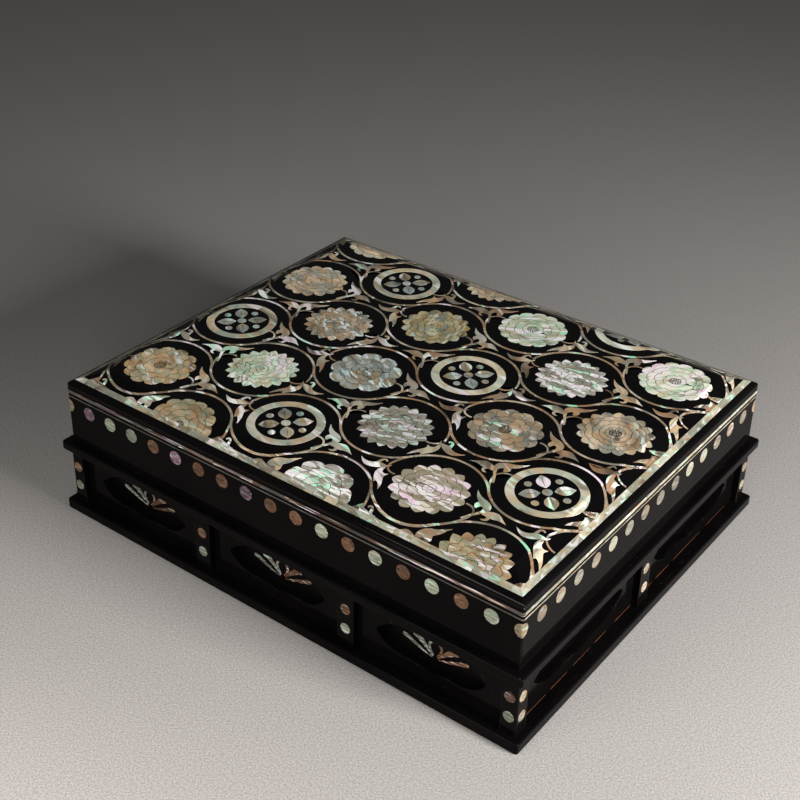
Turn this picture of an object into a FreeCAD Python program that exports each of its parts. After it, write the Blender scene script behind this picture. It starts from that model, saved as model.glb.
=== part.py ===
import FreeCAD, Part
import math
import os

# A low rectangular lacquered box with shell inlay, standing on its own panelled stand.
# Millimetres, +Z up. The origin is the centre of the resting face; the long side lies along X.

V = FreeCAD.Vector

# ---- driving dimensions -------------------------------------------------------------
LENGTH = 300.0            # body, along X
WIDTH = 242.0             # body, along Y
CORNER_R = 1.2            # rounding of the upright corners
SHELL = 0.3               # thickness of every piece of shell

PLINTH_OVERHANG = 4.8     # plinth board beyond the body face
PLINTH_T = 6.5
LEDGE_OVERHANG = 4.5      # stand top board beyond the body face
LEDGE_T = 5.5
LEDGE_TOP = 46.2          # where the body stands
BOARD_CORNER_R = 1.5
BOARD_EDGE_R = 1.0

WALL_T = 6.0
FLOOR_T = 5.0
RIM_TOP = 77.3            # top of the body walls
LIP_T = 3.0               # inner lip that locates the lid
LIP_TOP = 81.2
LID_GAP = 0.3             # running gap round the lip and under the lid edge
LID_SIDE_TOP = 81.8       # joint between lid sides and lid top board
LID_EDGE_TOP = 84.3       # where the margin's slope would meet the upright face
LID_TOP = 90.3
LID_MARGIN = 16.2         # plan width of the sloping margin
LID_ARRIS_R = 3.0         # rounding between the upright face and the margin

POST_PROUD = 1.0          # posts stand out from the body face
CORNER_POST = 8.8         # square section
MID_POST_W = 10.5
PANEL_RECESS = 2.8        # panel face behind the body face
PANEL_T = 5.0
BACKBOARD_T = 3.0

OPENING_MARGIN = 11.2     # from panel end to the tip of its opening
OPENING_TIP_Z = 24.0
OPENING_TOP_Z = 34.8
OPENING_LOBE_Z = 15.2
OPENING_CUSP_Z = 13.3
SHOULDER_U = 0.42         # where the top arc meets the shoulders, as a share of half the length
SHOULDER_DROP = 0.6
SHOULDER_BULGE = (0.74, 0.62)   # middle of a shoulder: share of half the length, share of its rise
LOBE_U = 0.52
LOBE_BULGE = (0.84, 0.36)
CUSP_BULGE = (0.22, 0.25)       # share of half the length, and the drop below the lobe

DOT_R = 4.1               # body dots
DOT_Z = 69.6
LONG_DOTS = 18            # spaces between the corner dots
SHORT_DOTS = 15
POST_DOT_R = 3.0
POST_DOT_Z = (17.2, 29.4)

LINE_Z = (75.6, 76.3)     # thin line under the rim
STRIP_Z = (78.0, 79.8)    # strip along the lower edge of the lid
BORDER_IN = (3.4, 6.6)    # border on the lid: insets of its two edges

ROWS = 8                  # rows of medallions, front to back
COLUMN_STEPS = range(-3, 5)
PITCH_X = 46.4            # half of the spacing of medallions in one row
PITCH_Y = 33.2            # spacing of the rows
PATTERN_X = 0.7           # the pattern sits a little off centre
RING_R = 20.7
RING_W = 4.6
FLOWER_R = 20.4
ROSETTE_LEAVES = 4        # plain rosette inside a ring
ROSETTE_TURN = 45.0       # degrees from the long side to its first leaf
ROSETTE_EYE_R = 2.6
ROSETTE_LEAF = ((3.5, 0), (6.6, 0), (10.0, 0), (14.4, 0))
ROSETTE_WIDTHS = (1.0, 6.4, 7.2, 0.8)
ROSETTE_BERRY_R = 2.0
ROSETTE_BERRY_AT = 11.2
FLOWER_LOBES = 16
LOBE_DEPTH = 1.3
VINE_W = 1.4
TENDRIL_W = 1.1
TENDRIL_START = 24.0      # degrees round the medallion: where a tendril leaves its vine,
TENDRIL_TURN = 14.0       # where it turns in,
TENDRIL_TOUCH = 3.0       # and where it touches the medallion
TENDRIL_GAP = 6.0         # degrees of the tight turn left out before the touch
LEAST_REACH = 3.0         # a motif that reaches less than this into the field is left out
LEAST_VOLUME = 1.0        # and so is any smaller sliver of shell, in cubic millimetres

TOLERANCE = 0.01
PAST = 1.0                # how far a cutting shape runs past what it cuts
MITRE_OUT = 2.0           # how far a mitre wedge reaches outside a frame
MITRE_IN = 30.0           # and inside it

# ---- derived sizes ------------------------------------------------------------------
PANEL_BACK = PANEL_RECESS + PANEL_T
STAND_TOP = LEDGE_TOP - LEDGE_T
VINE_R = math.hypot(PITCH_X, PITCH_Y) / 2
VINE_TILT = math.degrees(math.atan2(PITCH_Y, PITCH_X))
FIELD_X = LENGTH / 2 - BORDER_IN[1]
FIELD_Y = WIDTH / 2 - BORDER_IN[1]
FLAT_X = LENGTH / 2 - LID_MARGIN
FLAT_Y = WIDTH / 2 - LID_MARGIN

SIDES = {"front": 0, "right": 90, "back": 180, "left": 270}


def span(side):
    """Body length along a side."""
    return LENGTH if side in ("front", "back") else WIDTH


def reach(side):
    """Distance from the middle of the box to a side's face."""
    return (WIDTH if side in ("front", "back") else LENGTH) / 2


def on_side(shape, side):
    """Put a shape drawn for the front (face at y = 0, inward is +y) on a side of the box."""
    placed = shape.copy()
    placed.translate(V(0, -reach(side), 0))
    placed.rotate(V(0, 0, 0), V(0, 0, 1), SIDES[side])
    return placed


def block(x0, x1, y0, y1, z0, z1):
    return Part.makeBox(x1 - x0, y1 - y0, z1 - z0, V(x0, y0, z0))


def prism(points, z0, height):
    """Upright prism over a closed polygon of (x, y) points."""
    corners = [V(x, y, z0) for x, y in points]
    return Part.Face(Part.makePolygon(corners + corners[:1])).extrude(V(0, 0, height))


def upright_edges(solid):
    return [e for e in solid.Edges if e.BoundBox.ZLength > e.BoundBox.XLength + e.BoundBox.YLength]


def rounded_block(inset, radius, z0, z1):
    """Plan rectangle of the body, moved inwards by inset, with rounded upright corners."""
    x = LENGTH / 2 - inset
    y = WIDTH / 2 - inset
    solid = block(-x, x, -y, y, z0, z1)
    if radius > 0:
        solid = solid.makeFillet(radius, upright_edges(solid))
    return solid


def ring(inset_out, inset_in, radius, z0, z1):
    """Rectangular frame between two insets."""
    inner_r = max(radius - (inset_in - inset_out), 0)
    return rounded_block(inset_out, radius, z0, z1).cut(rounded_block(inset_in, inner_r, z0, z1))


def mitred(frame, side, inset_out):
    """The part of a rectangular frame on one side, cut at 45 degrees at both ends."""
    half = span(side) / 2 - inset_out
    outer, inner = inset_out - MITRE_OUT, inset_out + MITRE_IN
    wedge = prism([(-half - MITRE_OUT, outer), (half + MITRE_OUT, outer),
                   (half - MITRE_IN, inner), (-half + MITRE_IN, inner)], -PAST, LID_TOP + 2 * PAST)
    return frame.common(on_side(wedge, side))


def board(overhang, z0, z1):
    """Plan board that overhangs the body all round, with eased edges."""
    solid = rounded_block(-overhang, BOARD_CORNER_R, z0, z1)
    level = [e for e in solid.Edges if e.BoundBox.ZLength < TOLERANCE]
    return solid.makeFillet(BOARD_EDGE_R, level)


# ---- lid ----------------------------------------------------------------------------
def lid_section(half, flat):
    """Half of the lid top board's section, as edges in (out, up) from its foot to its middle."""
    slope = math.atan2(LID_TOP - LID_EDGE_TOP, LID_MARGIN)
    turn = math.pi / 2 - slope
    tangent = LID_ARRIS_R * math.tan(turn / 2)
    centre = (half - LID_ARRIS_R, LID_EDGE_TOP - tangent)
    foot, start = (half, LID_SIDE_TOP), (half, LID_EDGE_TOP - tangent)
    middle, end = [(centre[0] + LID_ARRIS_R * math.cos(a), centre[1] + LID_ARRIS_R * math.sin(a))
                   for a in (turn / 2, turn)]
    return foot, start, middle, end, (flat, LID_TOP)


def hipped_block():
    """Lid top board: upright edge, round arris, sloping margin and flat middle, mitred at the hips."""
    def face(half, flat, place):
        outline = []
        for sign in (1, -1):
            foot, start, middle, end, top = [place(sign * u, w) for u, w in lid_section(half, flat)]
            outline += [Part.LineSegment(foot, start), Part.Arc(start, middle, end)]
            outline.append(Part.LineSegment(end, top))
        for w, u in ((LID_SIDE_TOP, half), (LID_TOP, flat)):
            outline.append(Part.LineSegment(place(-u, w), place(u, w)))
        return Part.Face(Part.Wire(Part.__sortEdges__([e.toShape() for e in outline])))
    x, y = LENGTH / 2, WIDTH / 2
    one = face(x, FLAT_X, lambda u, w: V(u, -y, w)).extrude(V(0, WIDTH, 0))
    two = face(y, FLAT_Y, lambda u, w: V(-x, u, w)).extrude(V(LENGTH, 0, 0))
    return one.common(two).removeSplitter()


def lid_top_board():
    return hipped_block().common(rounded_block(0, CORNER_R, LID_SIDE_TOP, LID_TOP + PAST))


def inlay_layer():
    """A skin one shell thick over the lid's inlaid field, flat middle and margins."""
    base = hipped_block()
    skin = base.copy()
    skin.translate(V(0, 0, SHELL))
    field = block(-FIELD_X, FIELD_X, -FIELD_Y, FIELD_Y, LID_SIDE_TOP, LID_TOP + PAST)
    return skin.common(field).cut(base)


def lid_border(side):
    """Mitred strip that frames the inlaid field on the sloping margin."""
    base = hipped_block()
    skin = base.copy()
    skin.translate(V(0, 0, SHELL))
    frame = ring(BORDER_IN[0], BORDER_IN[1], 0, LID_SIDE_TOP, LID_TOP + PAST)
    return mitred(skin.cut(base).common(frame), side, BORDER_IN[0])


# ---- pattern of the lid ---------------------------------------------------------------
def medallions():
    """Places of the medallions: (x, y, row, column), rows staggered by one pitch."""
    places = []
    for row in range(ROWS):
        y = ((ROWS - 1) / 2 - row) * PITCH_Y
        for step in COLUMN_STEPS:
            column = 2 * step - (row % 2)
            places.append((PATTERN_X + (column - 0.5) * PITCH_X, y, row, column))
    return places


RING_PLACES = {(0, 2), (1, -1), (3, 1), (4, -2), (5, 3), (6, 0)}


def is_ring(row, column):
    return (row, column) in RING_PLACES


def flower_outline(x, y):
    """Scalloped disc: one outward arc per petal."""
    valley = FLOWER_R - LOBE_DEPTH
    arcs = []
    for k in range(FLOWER_LOBES):
        a0 = 2 * math.pi * k / FLOWER_LOBES
        a1 = 2 * math.pi * (k + 1) / FLOWER_LOBES
        am = (a0 + a1) / 2
        pts = [V(x + r * math.cos(a), y + r * math.sin(a), 0)
               for r, a in ((valley, a0), (FLOWER_R, am), (valley, a1))]
        arcs.append(Part.Arc(*pts).toShape())
    return Part.Face(Part.Wire(arcs))


def annulus_sector(cx, cy, radius, width, a0, a1):
    """Flat curved band about a centre, between two angles in degrees."""
    r0, r1 = radius - width / 2, radius + width / 2
    am = (a0 + a1) / 2

    def at(r, a):
        return V(cx + r * math.cos(math.radians(a)), cy + r * math.sin(math.radians(a)), 0)
    edges = [Part.Arc(at(r1, a0), at(r1, am), at(r1, a1)).toShape(),
             Part.LineSegment(at(r1, a1), at(r0, a1)).toShape(),
             Part.Arc(at(r0, a1), at(r0, am), at(r0, a0)).toShape(),
             Part.LineSegment(at(r0, a0), at(r1, a0)).toShape()]
    return Part.Face(Part.Wire(edges))


def tendril(cx, cy, side, from_above):
    """Curl from the vine to the medallion's edge: along the vine circle, then a tight turn in."""
    c = math.cos(math.radians(TENDRIL_TURN + TENDRIL_TOUCH))
    reach_in = (VINE_R ** 2 - RING_R ** 2) / (2 * (VINE_R - RING_R * c))
    small = VINE_R - reach_in
    first = annulus_sector(0, 0, VINE_R, TENDRIL_W, -TENDRIL_START, -TENDRIL_TURN)
    ox = reach_in * math.cos(math.radians(-TENDRIL_TURN))
    oy = reach_in * math.sin(math.radians(-TENDRIL_TURN))
    px = RING_R * math.cos(math.radians(TENDRIL_TOUCH))
    py = RING_R * math.sin(math.radians(TENDRIL_TOUCH))
    end = math.degrees(math.atan2(py - oy, px - ox))
    second = annulus_sector(ox, oy, small, TENDRIL_W, -TENDRIL_TURN, end - TENDRIL_GAP)
    shape = first.fuse(second)
    if from_above:
        shape = shape.mirror(V(0, 0, 0), V(0, 1, 0))
    if side < 0:
        shape = shape.mirror(V(0, 0, 0), V(1, 0, 0))
    shape.translate(V(cx, cy, 0))
    return shape


def stroke(path, widths):
    """Closed leaf-shaped outline about a centre line, as one smooth curve on each side."""
    left, right = [], []
    for k, (x, y) in enumerate(path):
        xa, ya = path[max(k - 1, 0)]
        xb, yb = path[min(k + 1, len(path) - 1)]
        dx, dy = xb - xa, yb - ya
        n = math.hypot(dx, dy)
        w = widths[k] / 2
        left.append(V(x - dy / n * w, y + dx / n * w, 0))
        right.append(V(x + dy / n * w, y - dx / n * w, 0))
    curves = []
    for pts in (left, right[::-1]):
        curve = Part.BSplineCurve()
        curve.interpolate(pts)
        curves.append(curve.toShape())
    ends = [Part.LineSegment(left[-1], right[-1]).toShape(), Part.LineSegment(right[0], left[0]).toShape()]
    return Part.Face(Part.Wire([curves[0], ends[0], curves[1], ends[1]]))


# Leaf scrolls for the gap at the right of a medallion, measured from the medallion's centre: the
# middle lines and widths of their leaves. One scroll rises from below and one hangs from above.
RISING_SCROLL = [
    ([(29.4, -5.6), (30.4, -2.0), (30.9, 2.6), (28.8, 6.4), (25.0, 8.4), (21.6, 10.6), (18.9, 13.9)],
     [0.8, 1.5, 2.2, 2.2, 2.0, 1.6, 0.3]),
    ([(30.6, -0.6), (34.0, -0.8), (37.4, 0.4), (41.0, 0.5), (45.4, -1.1)],
     [2.0, 3.2, 3.4, 2.2, 0.3]),
]
HANGING_SCROLL = [
    ([(29.3, 4.6), (29.9, 1.0), (32.4, -0.7), (35.6, -1.5), (39.4, -1.2), (43.4, 0.3)],
     [0.8, 1.6, 2.8, 3.0, 2.0, 0.3]),
    ([(30.2, 0.4), (29.5, -3.0), (27.2, -6.8), (24.4, -9.8), (21.8, -13.0), (19.7, -16.2)],
     [1.4, 2.6, 3.8, 3.2, 2.0, 0.3]),
]


def scroll(cx, cy, side, leaves):
    """Leaf scroll beside a medallion, on its right (side 1) or left (side -1)."""
    shapes = [stroke(path, widths) for path, widths in leaves]
    shape = shapes[0].fuse(shapes[1:]).removeSplitter()
    if side < 0:
        shape = shape.mirror(V(0, 0, 0), V(1, 0, 0))
    shape.translate(V(cx, cy, 0))
    return shape


def inlaid(face, layer):
    """Give a plan face its place on the lid: straight up on the flat, or cut from the skin."""
    box = face.BoundBox
    if abs(box.XMin) < FLAT_X and abs(box.XMax) < FLAT_X and \
            abs(box.YMin) < FLAT_Y and abs(box.YMax) < FLAT_Y:
        face.translate(V(0, 0, LID_TOP))
        return face.extrude(V(0, 0, SHELL)).Solids
    face.translate(V(0, 0, LID_SIDE_TOP))
    cut = layer.common(face.extrude(V(0, 0, LID_TOP - LID_SIDE_TOP + PAST)))
    return [s for s in cut.Solids if s.Volume > LEAST_VOLUME]


def outside_field(x, y, r):
    return abs(x) - r > FIELD_X - LEAST_REACH or abs(y) - r > FIELD_Y - LEAST_REACH


def lid_pattern():
    """All shell on the lid field, by kind."""
    layer = inlay_layer()
    groups = {"lid_flower_medallions": [], "lid_ring_medallions": [],
              "lid_vines_and_tendrils": [], "lid_leaf_scrolls": []}
    for x, y, row, column in medallions():
        rising = 1 if row % 2 else -1
        if not outside_field(x, y, VINE_R):
            arcs = [annulus_sector(x, y, VINE_R, VINE_W, VINE_TILT, 180 - VINE_TILT),
                    annulus_sector(x, y, VINE_R, VINE_W, 180 + VINE_TILT, 360 - VINE_TILT)]
            for arc in arcs:
                groups["lid_vines_and_tendrils"] += inlaid(arc, layer)
            for side in (1, -1):
                from_above = rising * side > 0
                leaves = HANGING_SCROLL if from_above else RISING_SCROLL
                groups["lid_vines_and_tendrils"] += inlaid(tendril(x, y, side, from_above), layer)
                groups["lid_leaf_scrolls"] += inlaid(scroll(x, y, side, leaves), layer)
        if outside_field(x, y, FLOWER_R):
            continue
        if is_ring(row, column):
            disc = Part.Face([Part.Wire(Part.makeCircle(RING_R, V(x, y, 0)))])
            hole = Part.Face([Part.Wire(Part.makeCircle(RING_R - RING_W, V(x, y, 0)))])
            groups["lid_ring_medallions"] += inlaid(disc.cut(hole), layer)
            groups["lid_ring_medallions"] += rosette(x, y, layer)
        else:
            groups["lid_flower_medallions"] += inlaid(flower_outline(x, y), layer)
    return groups


def rosette(x, y, layer):
    """Plain filler inside a ring: four leaves and four small discs round a middle disc."""
    def disc(u, v, radius):
        return Part.Face([Part.Wire(Part.makeCircle(radius, V(x + u, y + v, 0)))])
    solids = inlaid(disc(0, 0, ROSETTE_EYE_R), layer)
    for k in range(ROSETTE_LEAVES):
        leaf = stroke(ROSETTE_LEAF, ROSETTE_WIDTHS)
        leaf.rotate(V(0, 0, 0), V(0, 0, 1), ROSETTE_TURN + 360 * k / ROSETTE_LEAVES)
        leaf.translate(V(x, y, 0))
        solids += inlaid(leaf, layer)
        turn = 2 * math.pi * k / ROSETTE_LEAVES
        berry = disc(ROSETTE_BERRY_AT * math.cos(turn), ROSETTE_BERRY_AT * math.sin(turn), ROSETTE_BERRY_R)
        solids += inlaid(berry, layer)
    return solids


# ---- shell on the upright faces -------------------------------------------------------
def face_band(z0, z1, side):
    """Thin band of shell round the upright faces, one side of it."""
    return mitred(ring(-SHELL, 0, CORNER_R + SHELL, z0, z1), side, -SHELL)


def body_dots(side):
    """Row of round dots; the end ones wrap the upright corners and are cut at the mitre."""
    skin = face_band(DOT_Z - DOT_R - PAST, DOT_Z + DOT_R + PAST, side)
    count = LONG_DOTS if side in ("front", "back") else SHORT_DOTS
    solids = []
    for k in range(count + 1):
        u = -span(side) / 2 + span(side) * k / count
        drum = Part.makeCylinder(DOT_R, 2 * DOT_R, V(u, -DOT_R, DOT_Z), V(0, 1, 0))
        solids += skin.common(on_side(drum, side)).Solids
    return solids


def side_panels(side):
    """Number of stand panels on a side, their width and their centres."""
    count = 3 if side in ("front", "back") else 2
    clear = span(side) + 2 * POST_PROUD - 2 * CORNER_POST
    width = (clear - (count - 1) * MID_POST_W) / count
    centres = [(k - (count - 1) / 2) * (width + MID_POST_W) for k in range(count)]
    return width, centres


def post_centres(side):
    """Centres of the middle posts of a side."""
    width, centres = side_panels(side)
    return [c + (width + MID_POST_W) / 2 for c in centres[:-1]]


def post_dots(side):
    corner = span(side) / 2 + POST_PROUD - CORNER_POST / 2
    solids = []
    for u in [-corner] + post_centres(side) + [corner]:
        for z in POST_DOT_Z:
            disc = Part.makeCylinder(POST_DOT_R, SHELL, V(u, -POST_PROUD - SHELL, z), V(0, 1, 0))
            solids.append(on_side(disc, side))
    return solids


# ---- stand ----------------------------------------------------------------------------
def opening(half):
    """Cusped outline of a panel opening, centred at u = 0, in the upright plane y = 0."""
    def at(u, z):
        return V(u, 0, z)

    def arc(*pts):
        return Part.Arc(*[at(u, z) for u, z in pts]).toShape()
    tip, lobe = OPENING_TIP_Z, OPENING_LOBE_Z
    rise = OPENING_TOP_Z - tip
    shoulder = (SHOULDER_U * half, OPENING_TOP_Z - SHOULDER_DROP)
    shoulder_middle = (SHOULDER_BULGE[0] * half, tip + SHOULDER_BULGE[1] * rise)
    lobe_end = (LOBE_U * half, lobe)
    lobe_middle = (LOBE_BULGE[0] * half, lobe + LOBE_BULGE[1] * (tip - lobe))
    cusp_middle = (CUSP_BULGE[0] * half, lobe - CUSP_BULGE[1])

    def mirrored(point):
        return (-point[0], point[1])
    edges = [arc(mirrored(shoulder), (0, OPENING_TOP_Z), shoulder),
             arc(shoulder, shoulder_middle, (half, tip)),
             arc((half, tip), lobe_middle, lobe_end),
             arc(lobe_end, cusp_middle, (0, OPENING_CUSP_Z)),
             arc((0, OPENING_CUSP_Z), mirrored(cusp_middle), mirrored(lobe_end)),
             arc(mirrored(lobe_end), mirrored(lobe_middle), (-half, tip)),
             arc((-half, tip), mirrored(shoulder_middle), mirrored(shoulder))]
    return Part.Face(Part.Wire(edges))


def panel(side, centre, width):
    plate = block(-width / 2, width / 2, PANEL_RECESS, PANEL_BACK, PLINTH_T, STAND_TOP)
    hole = opening(width / 2 - OPENING_MARGIN)
    hole.translate(V(0, PANEL_RECESS - PAST, 0))
    solid = plate.cut(hole.extrude(V(0, PANEL_T + 2 * PAST, 0)))
    solid.translate(V(centre, 0, 0))
    return on_side(solid, side)


def backboard(side):
    """Board behind the panels of one side; the long ones run through at the corners."""
    half = span(side) / 2 - PANEL_BACK
    if side in ("left", "right"):
        half -= BACKBOARD_T
    return on_side(block(-half, half, PANEL_BACK, PANEL_BACK + BACKBOARD_T, PLINTH_T, STAND_TOP), side)


def middle_post(side, centre):
    return on_side(block(centre - MID_POST_W / 2, centre + MID_POST_W / 2,
                         -POST_PROUD, PANEL_BACK, PLINTH_T, STAND_TOP), side)


def corner_post(sx, sy):
    x1, y1 = LENGTH / 2 + POST_PROUD, WIDTH / 2 + POST_PROUD
    x0, y0 = x1 - CORNER_POST, y1 - CORNER_POST
    solid = block(x0, x1, y0, y1, PLINTH_T, STAND_TOP)
    outer = [e for e in upright_edges(solid)
             if e.CenterOfMass.x > x1 - TOLERANCE and e.CenterOfMass.y > y1 - TOLERANCE]
    solid = solid.makeFillet(CORNER_R, outer)
    if sx < 0:
        solid = solid.mirror(V(0, 0, 0), V(1, 0, 0))
    if sy < 0:
        solid = solid.mirror(V(0, 0, 0), V(0, 1, 0))
    return solid


# Half of the palmette seen through each opening: centre lines and widths of its petals,
# (u, z) from the foot of the palmette.
PETALS = [
    ([(1.8, 0.2), (6.5, 1.4), (11.5, 3.4), (16.0, 5.2), (19.6, 6.2)], [0.4, 0.9, 1.7, 2.2, 1.4]),
    ([(1.4, 1.0), (4.4, 4.0), (7.4, 7.0), (10.2, 8.8), (13.4, 8.8)], [0.4, 1.2, 2.6, 3.0, 0.8]),
    ([(0.9, 1.8), (2.8, 4.2), (3.8, 6.8), (3.2, 9.0), (1.6, 9.8)], [0.4, 1.0, 1.6, 1.3, 0.5]),
]
PALMETTE_FOOT_Z = 18.8


def palmette(side, centre):
    """Shell petals on the backboard behind one opening."""
    solids = []
    for path, widths in PETALS:
        flat = stroke(path, widths).extrude(V(0, 0, SHELL))
        flat.rotate(V(0, 0, 0), V(1, 0, 0), 90)
        flat.translate(V(0, PANEL_BACK, PALMETTE_FOOT_Z))
        for petal in (flat, flat.mirror(V(0, 0, 0), V(1, 0, 0))):
            petal.translate(V(centre, 0, 0))
            solids += on_side(petal, side).Solids
    return solids


# ---- assembly ---------------------------------------------------------------------------
def build():
    nodes = {
        "plinth_board": board(PLINTH_OVERHANG, 0, PLINTH_T),
        "stand_top_board": board(LEDGE_OVERHANG, STAND_TOP, LEDGE_TOP),
        "body_floor_board": rounded_block(WALL_T, 0, LEDGE_TOP, LEDGE_TOP + FLOOR_T),
        "lid_top_board": lid_top_board(),
    }
    walls = ring(0, WALL_T, CORNER_R, LEDGE_TOP, RIM_TOP)
    lips = ring(WALL_T, WALL_T + LIP_T, 0, LEDGE_TOP + FLOOR_T, LIP_TOP)
    lid_sides = ring(0, WALL_T - LID_GAP, CORNER_R, RIM_TOP + LID_GAP, LID_SIDE_TOP)
    lines, posts, petals = [], [], []
    for side in SIDES:
        nodes["body_wall_" + side] = mitred(walls, side, 0)
        nodes["locating_lip_" + side] = mitred(lips, side, WALL_T)
        nodes["lid_side_" + side] = mitred(lid_sides, side, 0)
        nodes["lid_border_strip_" + side] = lid_border(side)
        nodes["lid_edge_strip_" + side] = face_band(STRIP_Z[0], STRIP_Z[1], side)
        nodes["body_dots_" + side] = Part.makeCompound(body_dots(side))
        nodes["stand_backboard_" + side] = backboard(side)
        width, centres = side_panels(side)
        for k, centre in enumerate(centres):
            nodes["stand_panel_%s_%d" % (side, k + 1)] = panel(side, centre, width)
            petals += palmette(side, centre)
        for k, centre in enumerate(post_centres(side)):
            nodes["middle_post_%s_%d" % (side, k + 1)] = middle_post(side, centre)
        lines.append(face_band(LINE_Z[0], LINE_Z[1], side))
        posts += post_dots(side)
    for sx, sy, name in ((-1, -1, "front_left"), (1, -1, "front_right"),
                         (1, 1, "back_right"), (-1, 1, "back_left")):
        nodes["corner_post_" + name] = corner_post(sx, sy)
    nodes["body_rim_lines"] = Part.makeCompound(lines)
    nodes["post_dots"] = Part.makeCompound(posts)
    nodes["stand_palmettes"] = Part.makeCompound(petals)
    for name, solids in lid_pattern().items():
        nodes[name] = Part.makeCompound(solids)
    return nodes


def main():
    os.makedirs("parts", exist_ok=True)
    for name, shape in sorted(build().items()):
        shape.exportStep(os.path.join("parts", name + ".step"))
        print(name, len(shape.Solids), "solids", round(shape.Volume, 1), "mm3", shape.isValid())


main()
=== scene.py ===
import math
import random

import bmesh
import bpy
from mathutils import Matrix, Vector


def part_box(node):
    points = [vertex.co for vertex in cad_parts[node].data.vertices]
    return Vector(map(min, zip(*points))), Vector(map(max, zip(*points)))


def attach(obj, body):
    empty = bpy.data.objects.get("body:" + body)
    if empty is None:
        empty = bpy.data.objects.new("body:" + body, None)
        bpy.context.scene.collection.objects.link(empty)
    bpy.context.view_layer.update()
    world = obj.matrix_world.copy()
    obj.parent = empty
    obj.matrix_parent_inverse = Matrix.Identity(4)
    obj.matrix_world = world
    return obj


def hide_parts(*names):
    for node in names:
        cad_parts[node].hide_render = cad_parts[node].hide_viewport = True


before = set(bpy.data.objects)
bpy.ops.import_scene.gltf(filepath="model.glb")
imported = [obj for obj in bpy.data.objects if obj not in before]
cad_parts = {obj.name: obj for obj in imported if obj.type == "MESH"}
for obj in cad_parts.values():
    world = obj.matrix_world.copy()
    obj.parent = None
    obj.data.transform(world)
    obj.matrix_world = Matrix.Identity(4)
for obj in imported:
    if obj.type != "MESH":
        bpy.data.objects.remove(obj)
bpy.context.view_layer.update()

# Lengths below are in millimetres until a mesh is written, which is in metres.
MM = 0.001
LID, BODY = "lid", "box_body"
SIDES = ("front", "right", "back", "left")


def extent(node):
    """Lowest and highest corner of a CAD node, in millimetres."""
    low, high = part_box(node)
    return low / MM, high / MM


# ---- sizes read from the frame, and the pattern's own sizes ----
HALF_X, HALF_Y, LID_TOP = extent("lid_top_board")[1]
LID_MARGIN = 16.2  # plan width of the sloping margin
LID_RISE = 6.0  # rise of the sloping margin
LID_SLOPE = LID_RISE / LID_MARGIN
FLAT_X, FLAT_Y = HALF_X - LID_MARGIN, HALF_Y - LID_MARGIN
CORNER_R = 1.2  # rounding of the upright corners
BORDER_LOW, BORDER_HIGH = extent("lid_border_strip_front")
BORDER_OUT, BORDER_IN = HALF_Y + BORDER_LOW.y, HALF_Y + BORDER_HIGH.y
FIELD_X, FIELD_Y = HALF_X - BORDER_IN, HALF_Y - BORDER_IN

PITCH_X, PITCH_Y = 46.4, 33.2  # steps of the medallions' columns and rows
PATTERN_X = 0.7  # how far the pattern is shifted along the front
ROWS = 8
COLUMN_STEPS = range(-3, 5)
LEAST_SHOWN = 3  # a medallion that shows less than this is left out
RING_R, RING_W = 20.7, 4.6  # outer radius and width of a ring
FLOWER_R = 20.4  # radius of a flower
VINE_R = math.hypot(PITCH_X, PITCH_Y) / 2
VINE_TILT = math.degrees(math.atan2(PITCH_Y, PITCH_X))
RING_PLACES = {(0, 2), (1, -1), (3, 1), (4, -2), (5, 3), (6, 0)}

SUNK = -0.05  # undersides sit a little below the lacquer
LEVEL = 0.018  # step between stacked layers of shell and line
LINE = 0.28  # width of an engraved line
VINE_TOP = 0.1  # how proud the vines, scrolls and stand shell are


# ---- colours ----
def rgb(red, green, blue):
    """A colour given as display values from 0 to 255, as the linear values shaders take."""
    def linear(v):
        v /= 255
        return v / 12.92 if v <= 0.04045 else ((v + 0.055) / 1.055) ** 2.4
    return (linear(red), linear(green), linear(blue), 1.0)


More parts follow.
